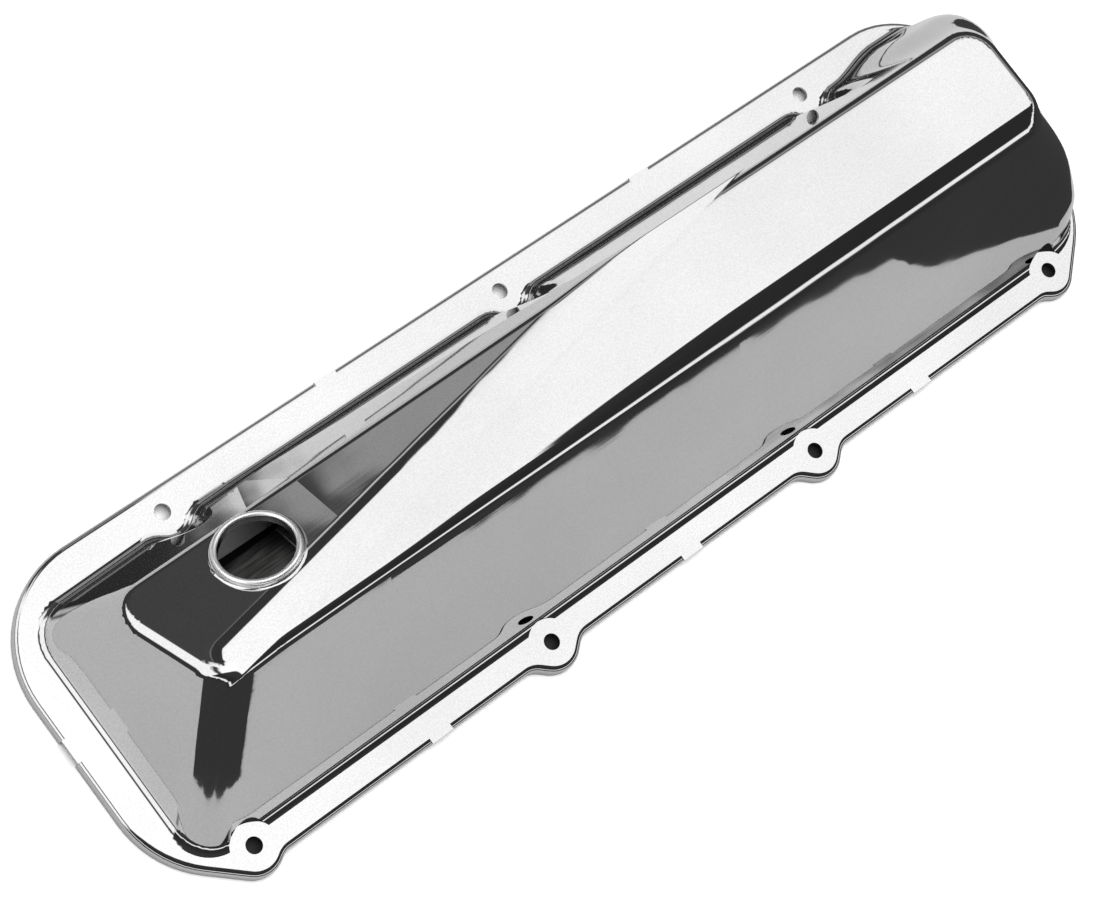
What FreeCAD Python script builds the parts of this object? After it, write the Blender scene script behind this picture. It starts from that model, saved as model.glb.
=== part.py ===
"""Rocker cover for one bank of a V8 engine, pressed from one steel sheet and chromed.

The frame has +X along the cover, +Y from the long sloping side to the steep
side, and +Z up.  The lip of the flange stands on z = 0.
"""
import FreeCAD, Part
import math
import os
from FreeCAD import Vector

# Sheet and flange, mm
SHEET = 1.2
FLANGE_LENGTH = 545.0
FLANGE_WIDTH = 150.0
FLANGE_CORNER_R = 47.0
LIP_DEPTH = 6.0
LIP_BEND_R = 2.6

# Bolt holes, placed from the flange's ends and straight edges
BOLT_HOLE_R = 3.6
NEAR_INNER_X = 78.0
NEAR_INNER_INSET = 5.2
NEAR_OUTER_FROM_END = 38.5
NEAR_OUTER_INSET = 9.2
FAR_HOLE_FROM_END = 89.5
FAR_HOLE_INSET = 10.6

# Ears that carry the near row of bolts
EAR_R = 13.0
EAR_FLANK_DEG = 40.0
EAR_ROOT_R = 8.0

# Gaps in the lip, where the gasket's tangs are hooked over
TANG_GAP = 11.0
NEAR_TANG_X = 142.0
FAR_TANG_X = 90.0
END_TANG_Y = 5.5

# Shelf of the flange that shows round the foot of the body
NEAR_SHELF = 15.0
FAR_SHELF = 16.8
END_SHELF = 15.5

# Body, given by where its flat panels would meet; heights are above the flange
RIDGE_HEIGHT = 75.0
NEAR_RUN = 47.9
FAR_EDGE_HEIGHT = 69.0
FAR_RUN = 17.2
END_RUN = 25.2
FACET_LOW_HEIGHT = 44.1
FACET_FROM_END = 204.5
FAR_CREASE_DROP = 30.0

# Roundings of the body, measured on the outside
CORNER_R = 17.0
TOP_EDGE_R = 6.0
CREASE_NARROW_R = 8.0
CREASE_WIDE_R = 26.0
FOOT_R = 5.0

# Pockets that clear the heads of the bolts
FAR_POCKET_R = 13.0
FAR_POCKET_LEAN = 0.11
FAR_POCKET_RIM_R = 10.0
NEAR_POCKET_R = 10.2

# Oil filler in the sloping facet
FILLER_FROM_END = 89.5
FILLER_FROM_EDGE = 16.6
FILLER_BORE_R = 15.4
FILLER_RIM_R = 18.2
FILLER_RIM_HEIGHT = 3.0
FILLER_FLARE = 1.5

# Splash baffle welded under the filler
BAFFLE_SHEET = 1.0
BAFFLE_DROP = 13.0
BAFFLE_FOOT_X = 24.0
BAFFLE_FOOT = 7.0
BAFFLE_SIDE_RUN = 6.0
BAFFLE_BEND_R = 1.0
BAFFLE_UP = 18.0
BAFFLE_DOWN = 12.0

# Places that follow from the sizes above
HALF_LENGTH = FLANGE_LENGTH / 2
HALF_WIDTH = FLANGE_WIDTH / 2
NEAR_INNER_HOLE = (NEAR_INNER_X, NEAR_INNER_INSET - HALF_WIDTH)
NEAR_OUTER_HOLE = (HALF_LENGTH - NEAR_OUTER_FROM_END, NEAR_OUTER_INSET - HALF_WIDTH)
FAR_HOLE = (HALF_LENGTH - FAR_HOLE_FROM_END, HALF_WIDTH - FAR_HOLE_INSET)
NEAR_FOOT_Y = NEAR_SHELF - HALF_WIDTH
RIDGE_Y = NEAR_FOOT_Y + NEAR_RUN
FAR_FOOT_Y = HALF_WIDTH - FAR_SHELF
FAR_EDGE_Y = FAR_FOOT_Y - FAR_RUN
END_FOOT_X = HALF_LENGTH - END_SHELF
END_TOP_X = END_FOOT_X - END_RUN
FILLER_X = FILLER_FROM_END - HALF_LENGTH
FILLER_Y = FAR_EDGE_Y - FILLER_FROM_EDGE

BIG = 2000.0


def line_through(point, angle_deg):
    """A line in plan, as a point and a unit direction."""
    angle = math.radians(angle_deg)
    return Vector(point[0], point[1], 0), Vector(math.cos(angle), math.sin(angle), 0)


def meet(line_a, line_b):
    """Where two lines in plan cross."""
    (p, d), (q, e) = line_a, line_b
    across = d.x * e.y - d.y * e.x
    gap = q - p
    return p + d * ((gap.x * e.y - gap.y * e.x) / across)


def rounded_wire(corners, height):
    """Closed outline through sharp corners, each given with its own radius."""
    starts, ends, middles = [], [], []
    count = len(corners)
    for index, (corner, radius) in enumerate(corners):
        before = (corners[index - 1][0] - corner).normalize()
        after = (corners[(index + 1) % count][0] - corner).normalize()
        half = before.getAngle(after) / 2
        reach = radius / math.tan(half)
        inward = (before + after).normalize()
        starts.append(corner + before * reach)
        ends.append(corner + after * reach)
        middles.append(corner + inward * (radius / math.sin(half) - radius))
    lift = Vector(0, 0, height)
    edges = []
    for index in range(count):
        following = (index + 1) % count
        if corners[index][1] > 0:
            arc = Part.Arc(starts[index] + lift, middles[index] + lift, ends[index] + lift)
            edges.append(arc.toShape())
        edges.append(Part.LineSegment(ends[index] + lift, starts[following] + lift).toShape())
    return Part.Wire(edges)


def flange_corners(skin):
    """Sharp corners of the flange's outline with their radii; skin moves it inwards."""
    half_length = HALF_LENGTH - skin
    half_width = HALF_WIDTH - skin
    outer_r = FLANGE_CORNER_R - skin
    ear_r = EAR_R - skin
    root_r = EAR_ROOT_R + skin
    near_edge = line_through((0, -half_width), 0)

    def flank(hole, side, lean_deg):
        """Straight side of an ear, which leaves the round about its hole at a tangent."""
        lean = math.radians(lean_deg)
        start = (hole[0] + side * ear_r * math.sin(lean), hole[1] - ear_r * math.cos(lean))
        return line_through(start, side * lean_deg)

    def own_lean(hole):
        """Lean of an ear's flank, less where the ear stands too little proud for it."""
        steepest = math.acos((half_width + hole[1] + root_r) / (ear_r + root_r))
        return min(EAR_FLANK_DEG, 0.9 * math.degrees(steepest))

    def corner_lean(hole):
        """Lean of the straight edge that touches the flange's corner and the ear."""
        reach_x = hole[0] - (half_length - outer_r)
        reach_y = -hole[1] - (half_width - outer_r)
        apart = math.hypot(reach_x, reach_y)
        return math.degrees(math.acos((outer_r - ear_r) / apart) - math.atan2(-reach_x, reach_y))

    right = []
    inner_left = flank(NEAR_INNER_HOLE, -1, own_lean(NEAR_INNER_HOLE))
    inner_right = flank(NEAR_INNER_HOLE, 1, own_lean(NEAR_INNER_HOLE))
    outer_left = flank(NEAR_OUTER_HOLE, -1, own_lean(NEAR_OUTER_HOLE))
    outer_right = flank(NEAR_OUTER_HOLE, 1, corner_lean(NEAR_OUTER_HOLE))
    end_edge = line_through((half_length, 0), 90)
    right.append((meet(near_edge, inner_left), root_r))
    right.append((meet(inner_left, inner_right), ear_r))
    right.append((meet(inner_right, near_edge), root_r))
    right.append((meet(near_edge, outer_left), root_r))
    right.append((meet(outer_left, outer_right), ear_r))
    right.append((meet(outer_right, end_edge), outer_r))
    right.append((Vector(half_length, half_width, 0), outer_r))
    left = [(Vector(-corner.x, corner.y, 0), radius) for corner, radius in reversed(right)]
    return right + left


def flange_block(skin):
    """The flange as a solid block whose top edge has the bend of the lip."""
    bottom = -skin
    top = LIP_DEPTH - skin
    face = Part.Face(rounded_wire(flange_corners(skin), bottom))
    block = face.extrude(Vector(0, 0, top - bottom))
    rim = [edge for edge in block.Edges if abs(edge.BoundBox.ZMin - top) < 1e-6]
    return block.makeFillet(LIP_BEND_R - skin, rim)


def panels():
    """The body's flat panels: a point on each and its outward normal."""
    def through(a, b, c, outward):
        normal = (b - a).cross(c - a).normalize()
        return a, normal if normal.dot(outward) > 0 else normal * -1

    foot = LIP_DEPTH
    along = Vector(1, 0, 0)
    across = Vector(0, 1, 0)
    up = Vector(0, 0, 1)
    end_slope = END_RUN / RIDGE_HEIGHT
    ridge = Vector(0, RIDGE_Y, foot + RIDGE_HEIGHT)
    far_edge = Vector(0, FAR_EDGE_Y, foot + FAR_EDGE_HEIGHT)
    near_foot = Vector(0, NEAR_FOOT_Y, foot)
    far_foot = Vector(0, FAR_FOOT_Y, foot)
    end_foot = Vector(END_FOOT_X, 0, foot)
    end_top = Vector(END_TOP_X, 0, foot + RIDGE_HEIGHT)
    left_foot = Vector(-END_FOOT_X, 0, foot)
    left_top = Vector(-END_TOP_X, 0, foot + RIDGE_HEIGHT)
    facet_high = Vector(-END_TOP_X, RIDGE_Y, foot + RIDGE_HEIGHT)
    facet_low = Vector(-END_FOOT_X + end_slope * FACET_LOW_HEIGHT, FAR_EDGE_Y, foot + FACET_LOW_HEIGHT)
    facet_end = Vector(HALF_LENGTH - FACET_FROM_END, FAR_EDGE_Y, foot + FAR_EDGE_HEIGHT)
    far_slope = FAR_RUN / FAR_EDGE_HEIGHT
    crease_root = Vector(-END_FOOT_X - end_slope * FAR_CREASE_DROP,
                         FAR_FOOT_Y + far_slope * FAR_CREASE_DROP, foot - FAR_CREASE_DROP)
    return {
        "near": through(near_foot, near_foot + along, ridge, across * -1),
        "top": through(ridge, ridge + along, far_edge, up),
        "far": through(far_foot, far_foot + along, far_edge, across),
        "right": through(end_foot, end_foot + across, end_top, along),
        "left": through(left_foot, left_foot + across, left_top, along * -1),
        "facet": through(facet_high, facet_low, facet_end, up),
        "twist": through(crease_root, facet_low, facet_end, across),
    }


def lies_on(edge, plane, inset):
    """True if both ends of an edge are on a panel that was moved inwards by inset."""
    point, normal = plane
    return all(abs((v.Point - point).dot(normal) + inset) < 1e-3 for v in edge.Vertexes)


def body_core():
    """The raised body's block, smaller all round by the radius of its top edge."""
    bounds = panels()
    block = Part.makeBox(FLANGE_LENGTH, FLANGE_WIDTH, 2 * RIDGE_HEIGHT,
                         Vector(-HALF_LENGTH, -HALF_WIDTH, -2 * LIP_DEPTH))
    for point, normal in bounds.values():
        beyond = Part.makeBox(BIG, BIG, BIG, Vector(-BIG / 2, -BIG / 2, 0))
        turn = FreeCAD.Rotation(Vector(0, 0, 1), normal)
        beyond.Placement = FreeCAD.Placement(point - normal * TOP_EDGE_R, turn)
        block = block.cut(beyond)

    def shared(name_a, name_b):
        return [edge for edge in block.Edges
                if lies_on(edge, bounds[name_a], TOP_EDGE_R) and lies_on(edge, bounds[name_b], TOP_EDGE_R)]

    uprights = []
    for side in ("near", "far", "twist"):
        for end in ("left", "right"):
            uprights += shared(side, end)
    block = block.makeFillet(CORNER_R - TOP_EDGE_R, uprights)
    crease = shared("facet", "top")
    radii = [CREASE_NARROW_R - TOP_EDGE_R, CREASE_WIDE_R - TOP_EDGE_R]
    if crease[0].Vertexes[0].Point.x > crease[0].Vertexes[-1].Point.x:
        radii.reverse()
    return block.makeFillet(radii[0], radii[1], crease).Solids[0]


def below(height):
    """Everything under a height, to cut away."""
    return Part.makeBox(BIG, BIG, BIG, Vector(-BIG / 2, -BIG / 2, height - BIG))


def near_holes():
    """Places of the four holes in the ears."""
    right = [NEAR_INNER_HOLE, NEAR_OUTER_HOLE]
    return [(-x, y) for x, y in reversed(right)] + right


def far_holes():
    """Places of the three holes along the steep side."""
    x, y = FAR_HOLE
    return [(-x, y), (0, y), (x, y)]


def cut_pocket(block, hole, skin):
    """Cut a round leaning pocket over a bolt hole and round the rim that this leaves."""
    radius = FAR_POCKET_R + skin
    axis = Vector(0, -FAR_POCKET_LEAN, 1).normalize()
    foot = Vector(hole[0], hole[1], LIP_DEPTH - skin) - axis * RIDGE_HEIGHT
    block = block.cut(Part.makeCylinder(radius, 3 * RIDGE_HEIGHT, foot, axis))

    def is_pocket_wall(face):
        surface = face.Surface
        same_bar = isinstance(surface, Part.Cylinder) and abs(surface.Radius - radius) < 1e-6
        return same_bar and surface.Center.distanceToLine(foot, axis) < 1e-6

    rim = []
    for edge in block.Edges:
        beside = [is_pocket_wall(face) for face in block.ancestorsOfType(edge, Part.Face)]
        if True in beside and edge.BoundBox.ZMax > LIP_DEPTH:
            rim.append(edge)
    return block.makeFillet(FAR_POCKET_RIM_R - skin, rim)


def body_block(skin):
    """The raised body with its deep pockets; skin moves its whole surface inwards."""
    offset_tolerance = 1e-3
    block = body_core().makeOffsetShape(TOP_EDGE_R - skin, offset_tolerance, join=0)
    block = block.cut(below(LIP_DEPTH / 2 - skin))
    for hole in far_holes():
        block = cut_pocket(block, hole, skin)
    return block.Solids[0]


def pressed_form(skin):
    """Flange and body as one block, with the rounded foot and the pockets in it."""
    form = flange_block(skin).fuse(body_block(skin)).removeSplitter()
    plane = LIP_DEPTH - skin
    foot = []
    for edge in form.Edges:
        points = [vertex.Point for vertex in edge.Vertexes]
        points.append(edge.valueAt((edge.FirstParameter + edge.LastParameter) / 2))
        level = all(abs(point.z - plane) < 1e-4 for point in points)
        under_body = all(abs(point.x) < END_FOOT_X + 1 for point in points)
        under_body = under_body and all(NEAR_FOOT_Y - 1 < point.y < FAR_FOOT_Y + 1 for point in points)
        if level and under_body:
            foot.append(edge)
    form = form.makeFillet(FOOT_R + skin, foot)
    for hole in near_holes():
        seat = Part.makeCylinder(NEAR_POCKET_R + skin, RIDGE_HEIGHT, Vector(hole[0], hole[1], plane))
        form = form.cut(seat)
    return form.Solids[0]


def open_lip(sheet, x, y, outward):
    """Cut the lip away over one tang's width, where the sheet stays flat to the edge."""
    slab = Part.makeBox(2 * LIP_BEND_R, TANG_GAP, LIP_DEPTH, Vector(-2 * LIP_BEND_R, -TANG_GAP / 2, 0))
    tongue = Part.makeBox(2 * LIP_BEND_R, TANG_GAP, SHEET, Vector(-2 * LIP_BEND_R, -TANG_GAP / 2, LIP_DEPTH - SHEET))
    place = FreeCAD.Placement(Vector(x, y, 0), FreeCAD.Rotation(Vector(1, 0, 0), outward))
    slab.Placement = place
    tongue.Placement = place
    return sheet.cut(slab).fuse(tongue)


def facet_frame():
    """Placement on the sloping facet: origin at the filler, Z outwards, Y up the slope."""
    point, normal = panels()["facet"]
    drop = ((FILLER_X - point.x) * normal.x + (FILLER_Y - point.y) * normal.y) / normal.z
    centre = Vector(FILLER_X, FILLER_Y, point.z - drop)
    along = Vector(1, 0, 0)
    up_slope = normal.cross(along).normalize()
    if up_slope.z < 0:
        up_slope = up_slope * -1
    turn = FreeCAD.Rotation(up_slope.cross(normal), up_slope, normal, "ZXY")
    return FreeCAD.Placement(centre, turn)


def filler_rim():
    """Rim of the filler hole, drawn up out of the sheet and rolled round at its top."""
    crown_r = (FILLER_RIM_R - FILLER_BORE_R) / 2
    crown_z = FILLER_RIM_HEIGHT - crown_r
    crown_x = FILLER_BORE_R + crown_r
    flare = FILLER_FLARE
    half = math.sqrt(0.5)
    points = [Vector(FILLER_BORE_R, 0, -SHEET), Vector(FILLER_BORE_R, 0, crown_z),
              Vector(FILLER_RIM_R, 0, crown_z), Vector(FILLER_RIM_R, 0, flare),
              Vector(FILLER_RIM_R + flare, 0, 0), Vector(FILLER_RIM_R + flare, 0, -SHEET)]
    middle = Vector(FILLER_RIM_R + flare * (1 - half), 0, flare * (1 - half))
    edges = [Part.LineSegment(points[0], points[1]).toShape(),
             Part.Arc(points[1], Vector(crown_x, 0, crown_z + crown_r), points[2]).toShape(),
             Part.LineSegment(points[2], points[3]).toShape(),
             Part.Arc(points[3], middle, points[4]).toShape(),
             Part.LineSegment(points[4], points[5]).toShape(),
             Part.LineSegment(points[5], points[0]).toShape()]
    section = Part.Face(Part.Wire(edges))
    rim = section.revolve(Vector(0, 0, 0), Vector(0, 0, 1), 360)
    rim.Placement = facet_frame()
    return rim


def valve_cover():
    """The pressed cover: a sheet shell with its holes, lip gaps and filler."""
    cover = pressed_form(0.0).cut(pressed_form(SHEET))
    for x in (-NEAR_TANG_X, 0, NEAR_TANG_X):
        cover = open_lip(cover, x, -HALF_WIDTH, Vector(0, -1, 0))
    for x in (-FAR_TANG_X, FAR_TANG_X):
        cover = open_lip(cover, x, HALF_WIDTH, Vector(0, 1, 0))
    for side in (-1, 1):
        cover = open_lip(cover, side * HALF_LENGTH, END_TANG_Y, Vector(side, 0, 0))
    for x, y in near_holes() + far_holes():
        cover = cover.cut(Part.makeCylinder(BOLT_HOLE_R, 2 * LIP_DEPTH, Vector(x, y, 0)))
    opening = Part.makeCylinder(FILLER_RIM_R + FILLER_FLARE, 2 * SHEET, Vector(0, 0, -1.5 * SHEET))
    opening.Placement = facet_frame()
    return cover.cut(opening).fuse(filler_rim()).removeSplitter()


def oil_baffle():
    """Folded tray under the filler, its two feet flat against the inside of the facet."""
    side_angle = math.atan2(BAFFLE_SIDE_RUN, BAFFLE_DROP - BAFFLE_SHEET)
    shift = BAFFLE_SHEET * math.tan(side_angle) - BAFFLE_SHEET / math.cos(side_angle)
    top = BAFFLE_FOOT_X
    bottom = BAFFLE_FOOT_X - BAFFLE_SIDE_RUN
    tip = BAFFLE_FOOT_X + BAFFLE_FOOT
    tight = BAFFLE_BEND_R
    wide = BAFFLE_BEND_R + BAFFLE_SHEET
    half = [(0, -BAFFLE_DROP, 0), (bottom, -BAFFLE_DROP, wide), (top, -BAFFLE_SHEET, tight),
            (tip, -BAFFLE_SHEET, 0), (tip, 0, 0), (top + shift, 0, wide),
            (bottom + shift, BAFFLE_SHEET - BAFFLE_DROP, tight)]
    right = [(Vector(x, y, 0), radius) for x, y, radius in half[1:]]
    left = [(Vector(-corner.x, corner.y, 0), radius) for corner, radius in reversed(right)]
    section = Part.Face(rounded_wire(right + left, 0))
    tray = section.extrude(Vector(0, 0, BAFFLE_UP + BAFFLE_DOWN))
    stand = FreeCAD.Placement(Vector(0, BAFFLE_UP, -SHEET), FreeCAD.Rotation(Vector(1, 0, 0), 90))
    tray.Placement = facet_frame().multiply(stand)
    return tray


def main():
    os.makedirs("parts", exist_ok=True)
    ear_proud = EAR_R - NEAR_INNER_INSET
    centring = Vector(0, ear_proud / 2, 0)
    for name, shape in (("valve_cover", valve_cover()), ("oil_baffle", oil_baffle())):
        solid = shape.Solids[0]
        solid.translate(centring)
        solid.exportStep("parts/" + name + ".step")


main()
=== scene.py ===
import bmesh
import bpy
import math
from mathutils import Matrix, Vector


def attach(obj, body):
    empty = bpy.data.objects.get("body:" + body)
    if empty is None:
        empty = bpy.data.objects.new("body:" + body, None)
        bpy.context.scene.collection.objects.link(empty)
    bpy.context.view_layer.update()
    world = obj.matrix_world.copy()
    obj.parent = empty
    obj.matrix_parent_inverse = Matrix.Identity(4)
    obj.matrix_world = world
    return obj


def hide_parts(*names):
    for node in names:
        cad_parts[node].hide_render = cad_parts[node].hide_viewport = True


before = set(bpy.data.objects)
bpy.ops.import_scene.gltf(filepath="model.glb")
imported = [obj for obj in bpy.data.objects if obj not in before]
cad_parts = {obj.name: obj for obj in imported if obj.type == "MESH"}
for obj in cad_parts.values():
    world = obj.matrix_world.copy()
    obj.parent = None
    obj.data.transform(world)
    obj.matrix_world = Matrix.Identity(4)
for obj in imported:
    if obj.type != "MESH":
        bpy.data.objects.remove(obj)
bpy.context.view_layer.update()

# Valve cover: the rocker cover of a V8 engine, drawn in one press stroke from thin sheet steel and chromed.
# Seven screws hold its flange down on the cylinder head. The plating is bright, with a faint grain from the
# polishing wheel and a thin haze where hands and oil have been. A ring on the bead round the filler hole is
# painted lighter, a painted highlight, and is also made rougher.
chrome = bpy.data.materials.new("polished_chrome")
chrome.use_nodes = True
nodes = chrome.node_tree.nodes
links = chrome.node_tree.links
plating = nodes["Principled BSDF"]
plating.inputs["Metallic"].default_value = 1.0
on_sheet = nodes.new("ShaderNodeTexCoord").outputs["Object"]


def noise(vector, scale, detail):
    """Soft random pattern over the sheet."""
    pattern = nodes.new("ShaderNodeTexNoise")
    pattern.inputs["Scale"].default_value = scale
    pattern.inputs["Detail"].default_value = detail
    links.new(vector, pattern.inputs["Vector"])
    return pattern.outputs["Fac"]


def stretched(vector, along, across):
    """Places on the sheet drawn out along the cover, so that a pattern there becomes long lines."""
    mapping = nodes.new("ShaderNodeMapping")
    mapping.inputs["Scale"].default_value = (along, across, across)
    links.new(vector, mapping.inputs["Vector"])
    return mapping.outputs["Vector"]


def between(value, start, end, low, high, smooth=False):
    """Value taken from one span of numbers to another and held at its ends."""
    span = nodes.new("ShaderNodeMapRange")
    if smooth:
        span.interpolation_type = "SMOOTHSTEP"
    for name, number in (("From Min", start), ("From Max", end), ("To Min", low), ("To Max", high)):
        if isinstance(number, float):
            span.inputs[name].default_value = number
        else:
            links.new(number, span.inputs[name])
    links.new(value, span.inputs["Value"])
    return span.outputs["Result"]


def reckon(operation, first, second):
    """Sum, difference, product or root of two values."""
    step = nodes.new("ShaderNodeMath")
    step.operation = operation
    for socket, value in zip(step.inputs, (first, second)):
        if isinstance(value, float):
            socket.default_value = value
        else:
            links.new(value, socket)
    return step.outputs["Value"]


haze = noise(on_sheet, 9.0, 4.0)
grain = noise(on_sheet, 1300.0, 1.0)
filler_centre = (-0.183014, 0.028398, 0.064424)
bead_inner = 0.0150
bead_outer = 0.0190
bead_edge = 0.0008
from_filler = nodes.new("ShaderNodeVectorMath")
from_filler.operation = "DISTANCE"
from_filler.inputs[1].default_value = filler_centre
links.new(on_sheet, from_filler.inputs[0])
off_centre = from_filler.outputs["Value"]
# Mask of the ring on the bead round the filler hole: it carries a painted highlight and extra roughness.
painted_highlight_ring = reckon("MULTIPLY", between(off_centre, bead_inner, bead_inner + bead_edge, 0.0, 1.0),
                     between(off_centre, bead_outer - bead_edge, bead_outer, 1.0, 0.0))
shine = reckon("MULTIPLY", between(haze, 0.3, 0.7, 0.49, 0.55), between(grain, 0.3, 0.7, 0.93, 1.06))
# The ring's base colour is raised by 0.42: a painted highlight on the bead.
shine = reckon("ADD", shine, reckon("MULTIPLY", painted_highlight_ring, 0.42))
shine_colour = nodes.new("ShaderNodeCombineColor")
for channel in ("Red", "Green", "Blue"):
    links.new(shine, shine_colour.inputs[channel])
links.new(shine_colour.outputs["Color"], plating.inputs["Base Color"])
dullness = reckon("ADD", between(haze, 0.3, 0.7, 0.025, 0.055), reckon("MULTIPLY", painted_highlight_ring, 0.35))
links.new(dullness, plating.inputs["Roughness"])

# The press leaves the sheet a little uneven: the long ridge is drawn round softly, more so towards the right
# end, the panels are slightly wavy, and the polishing wheel's fine lines run along them. Sizes in mm.
ridge_y = -8.2
ridge_z = 81.0
sheet_mm = nodes.new("ShaderNodeVectorMath")
sheet_mm.operation = "SCALE"
sheet_mm.inputs["Scale"].default_value = 1000.0
links.new(on_sheet, sheet_mm.inputs["Vector"])
parts_mm = nodes.new("ShaderNodeSeparateXYZ")
links.new(sheet_mm.outputs["Vector"], parts_mm.inputs["Vector"])
x_mm = parts_mm.outputs["X"]
z_mm = parts_mm.outputs["Z"]
across = reckon("SUBTRACT", parts_mm.outputs["Y"], ridge_y)
below = reckon("SUBTRACT", z_mm, ridge_z)
squares = reckon("ADD", reckon("MULTIPLY", across, across), reckon("MULTIPLY", below, below))
from_ridge = reckon("SQRT", squares, 0.0)
ridge_width = between(x_mm, -230.0, 40.0, 5.0, 9.0)
ridge_drop = between(x_mm, -150.0, 40.0, 0.0, 1.8)
ridge_relief = between(from_ridge, 0.8, ridge_width, 0.0, 1.0, smooth=True)
ridge_relief = reckon("MULTIPLY", ridge_relief, ridge_drop)
waves = reckon("MULTIPLY", noise(on_sheet, 28.0, 1.0), 0.16)
draw_lines = reckon("MULTIPLY", noise(stretched(on_sheet, 2.0, 60.0), 1.0, 2.0), 0.05)
polish_lines = reckon("MULTIPLY", noise(stretched(on_sheet, 6.0, 420.0), 1.0, 3.0), 0.003)
height = reckon("ADD", reckon("ADD", ridge_relief, waves), reckon("ADD", draw_lines, polish_lines))
relief = nodes.new("ShaderNodeBump")
relief.inputs["Strength"].default_value = 1.0
relief.inputs["Distance"].default_value = 0.001
links.new(height, relief.inputs["Height"])
links.new(relief.outputs["Normal"], plating.inputs["Normal"])

# The fold between the flat top and the filler's facet is soft too. It starts where the ridge ends at the
# left, and the facet looks level for its first few millimetres past the fold, before it turns down. In mm.
fold_start_x = -231.8
fold_run = 0.9846
fold_aside = 0.1744
fold_flat = 7.0
fold_width = 15.0
along_fold = reckon("MULTIPLY", reckon("SUBTRACT", x_mm, fold_start_x), -fold_aside)
past_fold = reckon("ADD", reckon("MULTIPLY", across, fold_run), along_fold)
on_facet = reckon("MULTIPLY", between(past_fold, fold_flat, fold_width, 1.0, 0.0),
                  between(past_fold, -3.0, -2.0, 0.0, 1.0))
near_top = between(z_mm, 64.0, 68.0, 0.0, 1.0)
clear_of_end = between(x_mm, -230.0, -222.0, 0.0, 1.0)
soft_fold = nodes.new("ShaderNodeMix")
soft_fold.data_type = "VECTOR"
fold_share = reckon("MULTIPLY", reckon("MULTIPLY", on_facet, near_top), clear_of_end)
links.new(fold_share, soft_fold.inputs["Factor"])
links.new(nodes.new("ShaderNodeNewGeometry").outputs["Normal"], soft_fold.inputs["A"])
soft_fold.inputs["B"].default_value = (0.0, 0.0, 1.0)
fold_normal = nodes.new("ShaderNodeVectorMath")
fold_normal.operation = "NORMALIZE"
links.new(soft_fold.outputs["Result"], fold_normal.inputs[0])
links.new(fold_normal.outputs["Vector"], relief.inputs["Normal"])

# The right end is drawn out fuller than the left one: its wall swells out towards the foot, and the shelf of
# the flange is narrow there. The flange's edge and its ear stay in place. Sizes in mm.
swell_from_x = 198.0
swell_full_x = 248.0
foot_swell = 8.0
wall_swell = 12.3
side_swell = 5.5
flange_top_z = 6.0
belly_low_z = 24.0
belly_high_z = 34.0
side_top_z = 76.0
outer_ear = (234.0, -61.9)
flange_end = 272.5
flange_side = 75.0
flange_middle = 3.9
flange_corner = 47.0
lip_bend = 2.8
shelf_width = 8.9


def ease(value, start, end):
    """Smooth step from nought to one."""
    part = min(1.0, max(0.0, (value - start) / (end - start)))
    return part * part * (3.0 - 2.0 * part)


def swell(point):
    """How far a point of the right end stands out past the plain wedge, to the end and to the steep side."""
    x, y, z = point
    to_end = ease(x, swell_from_x, swell_full_x)
    to_side = ease(x, 199.0, 224.0) * ease(y, 38.0, 56.0)
    fullest = wall_swell * (1.0 + 0.4 * ease(y, 10.0, 50.0))
    rising = (fullest - foot_swell) * ease(z, flange_top_z, belly_low_z)
    end_amount = foot_swell + rising - fullest * ease(z, belly_high_z, ridge_z)
    side_amount = side_swell * (1.0 - ease(z, belly_high_z, side_top_z))
    past_x = max(0.0, abs(x) - (flange_end - flange_corner))
    past_y = max(0.0, abs(y - flange_middle) - (flange_side - flange_corner))
    from_edge = min(flange_corner - math.hypot(past_x, past_y), flange_end - abs(x))
    on_shelf = min(1.0, max(0.0, (from_edge - lip_bend) / shelf_width))
    clear_of_ear = ease(math.hypot(x - outer_ear[0], y - outer_ear[1]), 11.0, 26.0)
    low = on_shelf * clear_of_ear
    share = low + (1.0 - low) * ease(z, flange_top_z, 26.0)
    return Vector((end_amount * to_end * share, side_amount * to_side * share, 0.0))


# The swelled sheet is made from the plain pressing. Its right end is cut finer first, every four millimetres.
cover_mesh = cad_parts["valve_cover"].data.copy()
cover_mesh.name = "pressed_cover"
sheet_normal = cover_mesh.attributes.new("sheet_normal", "FLOAT_VECTOR", "CORNER")
for index, corner in enumerate(cover_mesh.corner_normals):
    sheet_normal.data[index].vector = corner.vector
finer = bmesh.new()
finer.from_mesh(cover_mesh)
cut_step = 0.004
end_steps = range(50, 68)
level_steps = range(2, 20)
swelled_from = swell_from_x / 1000.0
cuts = [((step * cut_step, 0.0, 0.0), (1.0, 0.0, 0.0)) for step in end_steps]
cuts += [((0.0, 0.0, step * cut_step), (0.0, 0.0, 1.0)) for step in level_steps]
for point, direction in cuts:
    right_end = [face for face in finer.faces if max(vert.co.x for vert in face.verts) > swelled_from]
    around = set(vert for face in right_end for vert in face.verts)
    edges = set(edge for face in right_end for edge in face.edges)
    bmesh.ops.bisect_plane(finer, geom=list(around) + list(edges) + right_end, dist=1e-7,
                           plane_co=point, plane_no=direction)
bmesh.ops.triangulate(finer, faces=[face for face in finer.faces if len(face.verts) > 3])
finer.to_mesh(cover_mesh)
finer.free()

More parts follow.
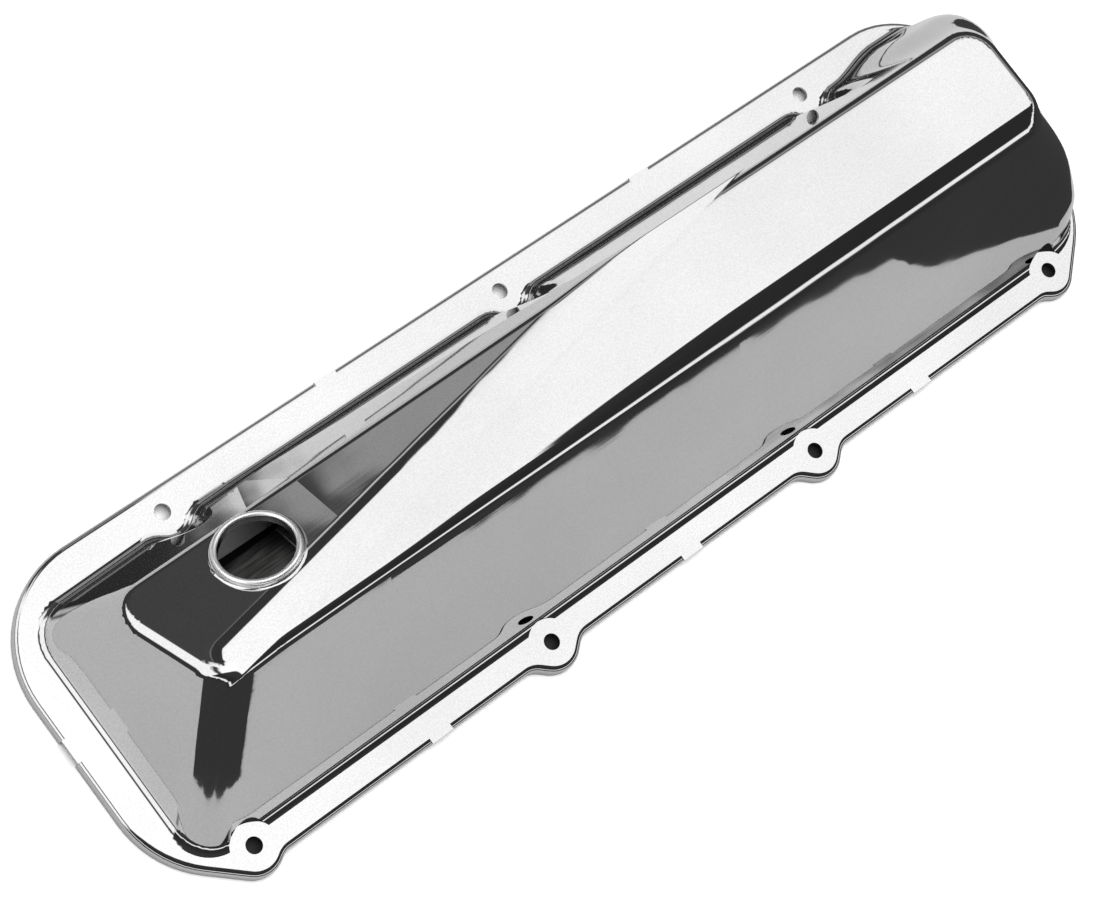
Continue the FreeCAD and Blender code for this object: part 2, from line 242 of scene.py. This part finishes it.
# Each point is moved by its swell, and the way that the sheet faces there is turned with it.
nudge = 0.05
shifts = []
turns = []
for vert in cover_mesh.vertices:
    point = vert.co * 1000.0
    shifts.append(None)
    turns.append(None)
    if point.x > swell_from_x:
        rows = []
        for axis in range(3):
            step = Vector((0.0, 0.0, 0.0))
            step[axis] = nudge
            rows.append((swell(point + step) - swell(point - step)) / (2 * nudge))
            rows[axis][axis] += 1.0
        turns[-1] = Matrix(rows).inverted_safe()
        shifts[-1] = swell(point) / 1000.0
facings = []
sheet_normal = cover_mesh.attributes["sheet_normal"]
for loop in cover_mesh.loops:
    facing = Vector(sheet_normal.data[loop.index].vector)
    if turns[loop.vertex_index]:
        facing = turns[loop.vertex_index] @ facing
    facings.append(facing.normalized())
for vert, shift in zip(cover_mesh.vertices, shifts):
    if shift:
        vert.co += shift
cover_mesh.attributes.remove(sheet_normal)
cover_mesh.normals_split_custom_set(facings)
cover_mesh.materials.clear()
cover_mesh.materials.append(chrome)
cover = bpy.data.objects.new("pressed_cover", cover_mesh)
bpy.context.scene.collection.objects.link(cover)
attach(cover, "root")
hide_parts("valve_cover")

# Oil baffle: a small folded tray of bare steel, spot welded to the sheet below the filler hole, that keeps
# splashed oil away from the opening. It is plain rolled steel with a dull face, darkened a little by oil.
baffle_steel = bpy.data.materials.new("brushed_baffle_steel")
baffle_steel.use_nodes = True
nodes = baffle_steel.node_tree.nodes
links = baffle_steel.node_tree.links
rolled_steel = nodes["Principled BSDF"]
rolled_steel.inputs["Metallic"].default_value = 1.0
on_tray = nodes.new("ShaderNodeTexCoord").outputs["Object"]
roll_lines = noise(stretched(on_tray, 30.0, 900.0), 1.0, 5.0)
steel_colour = nodes.new("ShaderNodeValToRGB")
steel_colour.color_ramp.elements[0].position = 0.3
steel_colour.color_ramp.elements[0].color = (0.05, 0.05, 0.05, 1)
steel_colour.color_ramp.elements[1].position = 0.7
steel_colour.color_ramp.elements[1].color = (0.16, 0.16, 0.155, 1)
links.new(roll_lines, steel_colour.inputs["Fac"])
links.new(steel_colour.outputs["Color"], rolled_steel.inputs["Base Color"])
links.new(between(roll_lines, 0.0, 1.0, 0.28, 0.5), rolled_steel.inputs["Roughness"])
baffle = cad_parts["oil_baffle"]
baffle.material_slots[0].material = baffle_steel


# Table top: a wide sheet of white card that lies flat under the cover, lit evenly, with only a faint soft
# shadow at the lip. The camera sees it, but the chrome doesn't mirror it.
def lay_flat(name, outline, lift, colour, dullness):
    """Flat sheet on the table, of card or the black sheet of painted shade, in its own plain matt material."""
    sheet = bpy.data.meshes.new(name)
    sheet.from_pydata([(x, y, lift) for x, y in outline], [], [list(range(len(outline)))])
    matt = bpy.data.materials.new(name)
    matt.use_nodes = True
    surface = matt.node_tree.nodes["Principled BSDF"]
    surface.inputs["Base Color"].default_value = colour
    surface.inputs["Roughness"].default_value = dullness
    sheet.materials.append(matt)
    laid = bpy.data.objects.new(name, sheet)
    bpy.context.scene.collection.objects.link(laid)
    return laid


reach = 1.6
table_outline = [(-reach, -reach), (reach, -reach), (reach, reach), (-reach, reach)]
card = lay_flat("white_card", table_outline, 0.0, (0.82, 0.82, 0.815, 1), 0.8)
card.visible_glossy = False

# Grey card: a smaller cut card round the cover, and that is what the chrome mirrors. On the near side it stops
# about 130 mm from the flange, and the dark room past its edge draws the dark wedge and lines in that side.
# The lobe at its near left gives the foot of that corner its grey, below the dark stripe.
grey_outline = [(-0.43, 0.02), (-0.40, 0.16), (-0.33, 0.26), (-0.10, 0.30), (0.15, 0.27), (0.25, 0.18),
                (0.31, 0.09), (0.30, -0.055), (0.262, -0.110), (0.238, -0.137), (0.237, -0.155),
                (0.244, -0.175), (0.225, -0.185), (0.19, -0.194), (0.125, -0.201), (0.0, -0.204),
                (-0.06, -0.211), (-0.137, -0.213), (-0.201, -0.120), (-0.207, -0.141), (-0.250, -0.232),
                (-0.393, -0.335), (-0.404, -0.166), (-0.367, -0.093), (-0.345, -0.062), (-0.425, -0.045)]
grey_card = lay_flat("grey_card", grey_outline, 0.0002, (0.44, 0.44, 0.44, 1), 0.8)
grey_card.visible_camera = False
grey_card.visible_diffuse = False
grey_card.visible_shadow = False

# Painted shade: a black matt sheet laid on the table inside the cover's lip. It stands in for the shade under
# the cover, so that the screw holes of the near side look dark over it.
painted_shade_outline = [(-0.240, -0.0695), (0.240, -0.0695), (0.262, -0.030), (0.262, 0.040), (-0.262, 0.040),
                (-0.262, -0.030)]
painted_shade_sheet = lay_flat("painted_shade_sheet", painted_shade_outline, 0.0004, (0.02, 0.02, 0.02, 1), 1.0)

# Soft box: a square lamp with a cloth front, hung two metres above the table. It lights the table evenly,
# and the chrome doesn't mirror it.
soft_box = bpy.data.lights.new("soft_box", "AREA")
soft_box.shape = "RECTANGLE"
soft_box.size = 2.2
soft_box.size_y = 2.2
soft_box.energy = 60.0
box_stand = bpy.data.objects.new("soft_box", soft_box)
box_stand.location = (0.0, 0.0, 2.0)
box_stand.visible_glossy = False
bpy.context.scene.collection.objects.link(box_stand)

# Studio room: the painted walls that the chrome mirrors. The room is bright above and on the far side, with a
# grey band low down and a dark line over it, and dark towards the near side, with one low bright slit there.
# Each wall has its grey tones by height, from the floor at nought to overhead at one.
room = bpy.data.worlds.new("studio_room")
bpy.context.scene.world = room
room.use_nodes = True
nodes = room.node_tree.nodes
links = room.node_tree.links
split = nodes.new("ShaderNodeSeparateXYZ")
links.new(nodes.new("ShaderNodeTexCoord").outputs["Generated"], split.inputs["Vector"])
rightward = split.outputs["X"]
farward = split.outputs["Y"]
level = split.outputs["Z"]


def grey_bands(height_on_wall, stops):
    """Wall painted in grey tones, each given by its height and how light it is."""
    ramp = nodes.new("ShaderNodeValToRGB")
    shades = ramp.color_ramp
    shades.elements[0].position = stops[0][0]
    shades.elements[0].color = (stops[0][1], stops[0][1], stops[0][1], 1)
    shades.elements[1].position = stops[-1][0]
    shades.elements[1].color = (stops[-1][1], stops[-1][1], stops[-1][1], 1)
    for height, grey in stops[1:-1]:
        stop = shades.elements.new(height)
        stop.color = (grey, grey, grey, 1)
    links.new(height_on_wall, ramp.inputs["Fac"])
    return ramp.outputs["Color"]


def blend(mask, first, second):
    """Mix of two looks of the room by a mask. The second may be one plain colour."""
    mix = nodes.new("ShaderNodeMix")
    mix.data_type = "RGBA"
    links.new(mask, mix.inputs["Factor"])
    links.new(first, mix.inputs[6])
    if isinstance(second, tuple):
        mix.inputs[7].default_value = second
    else:
        links.new(second, mix.inputs[7])
    return mix.outputs[2]


slanting_level = reckon("SUBTRACT", level, between(rightward, 0.278, 0.39, 0.0, 0.056))
far_walls = grey_bands(slanting_level, [(0.0, 0.03), (0.18, 0.03), (0.26, 0.20), (0.36, 0.27), (0.436, 0.25),
                                        (0.446, 0.04), (0.50, 0.05), (0.54, 0.55), (0.62, 0.80), (0.86, 0.88),
                                        (1.0, 1.0)])
left_corner = grey_bands(level, [(0.0, 0.03), (0.56, 0.05), (0.60, 0.60), (0.66, 0.80), (0.86, 0.88),
                                 (1.0, 1.0)])
left_walls = grey_bands(level, [(0.0, 0.03), (0.10, 0.03), (0.17, 0.85), (0.70, 0.85), (0.76, 0.05),
                                (0.86, 0.05), (0.92, 0.9), (1.0, 1.0)])
near_walls = grey_bands(level, [(0.0, 0.03), (0.31, 0.02), (0.35, 0.80), (0.46, 0.80), (0.50, 0.02),
                                (0.80, 0.02), (0.95, 0.03)])
far_side = blend(between(rightward, 0.269, 0.277, 0.0, 1.0), left_corner, far_walls)
far_and_left = blend(between(rightward, -0.10, -0.20, 0.0, 1.0), far_side, left_walls)
door_width = reckon("MULTIPLY", between(rightward, 0.05, 0.15, 0.0, 1.0),
                    between(rightward, 0.358, 0.348, 0.0, 1.0))
door_height = reckon("MULTIPLY", between(farward, 0.40, 0.44, 0.0, 1.0), between(level, 0.55, 0.60, 0.0, 1.0))
with_door = blend(reckon("MULTIPLY", door_width, door_height), far_and_left, (0.03, 0.03, 0.03, 1))
whole_room = blend(between(farward, -0.03, -0.07, 0.0, 1.0), with_door, near_walls)
links.new(whole_room, nodes["Background"].inputs["Color"])
nodes["Background"].inputs["Strength"].default_value = 2.0

# Camera: it looks down on the cover from its near left, from about one and a half metres. Its place and turn
# are those at which the seven screw holes lie as they do in the photograph.
lens = bpy.data.cameras.new("camera")
lens.lens = 108.2
camera = bpy.data.objects.new("camera", lens)
camera.location = (-0.65361, -0.08705, 1.24768)
camera.rotation_euler = [math.radians(turn) for turn in (19.349, -19.244, -38.891)]
bpy.context.scene.collection.objects.link(camera)
bpy.context.scene.camera = camera
bpy.context.scene.view_settings.view_transform = "Standard"
